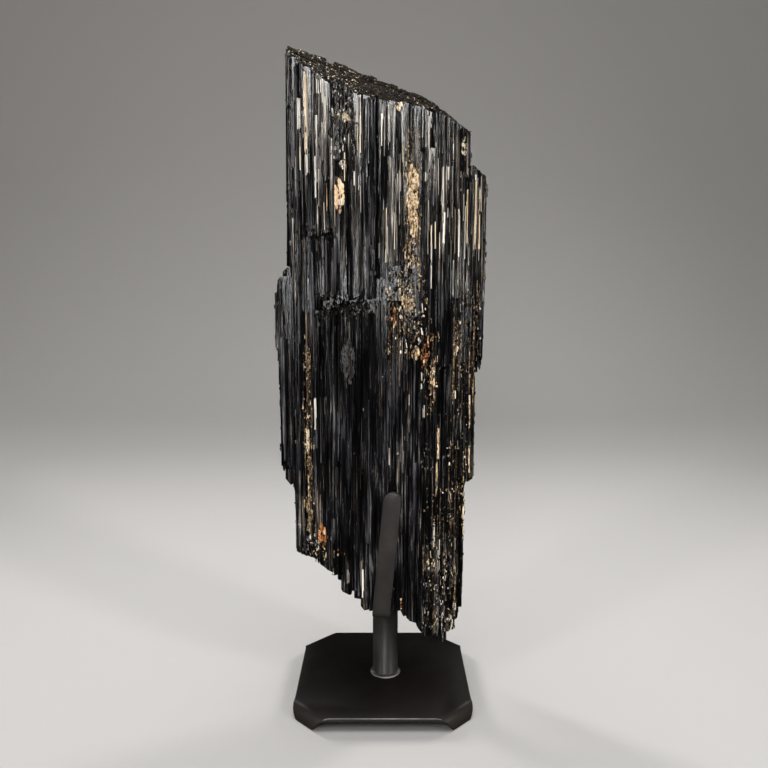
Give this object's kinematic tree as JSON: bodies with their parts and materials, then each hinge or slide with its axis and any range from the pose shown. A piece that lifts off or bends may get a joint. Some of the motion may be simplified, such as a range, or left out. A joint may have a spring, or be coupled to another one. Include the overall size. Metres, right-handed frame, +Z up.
{
  "type": "black crystal specimen on a stand",
  "caption": "Tall striated mass of black mineral blades with a slanted flat top, held upright by a bent steel bar on a round post and a square footed base plate.",
  "frame": {"origin": "on the floor under the middle of the base plate", "axes": "+Z up along the blades, +Y from the broad front face to the back, +X to the right seen from the front"},
  "size_m": [0.1508, 0.1284, 0.4713],
  "materials": {
    "patinated_steel": "dark bronze patina, satin",
    "black_crystal": "glossy black, striated, with gold and rust stains"
  },
  "bodies": {
    "root": {"base_plate": "patinated_steel", "post": "patinated_steel", "cradle": "patinated_steel", "crystal": "black_crystal"}
  },
  "joints": []
}
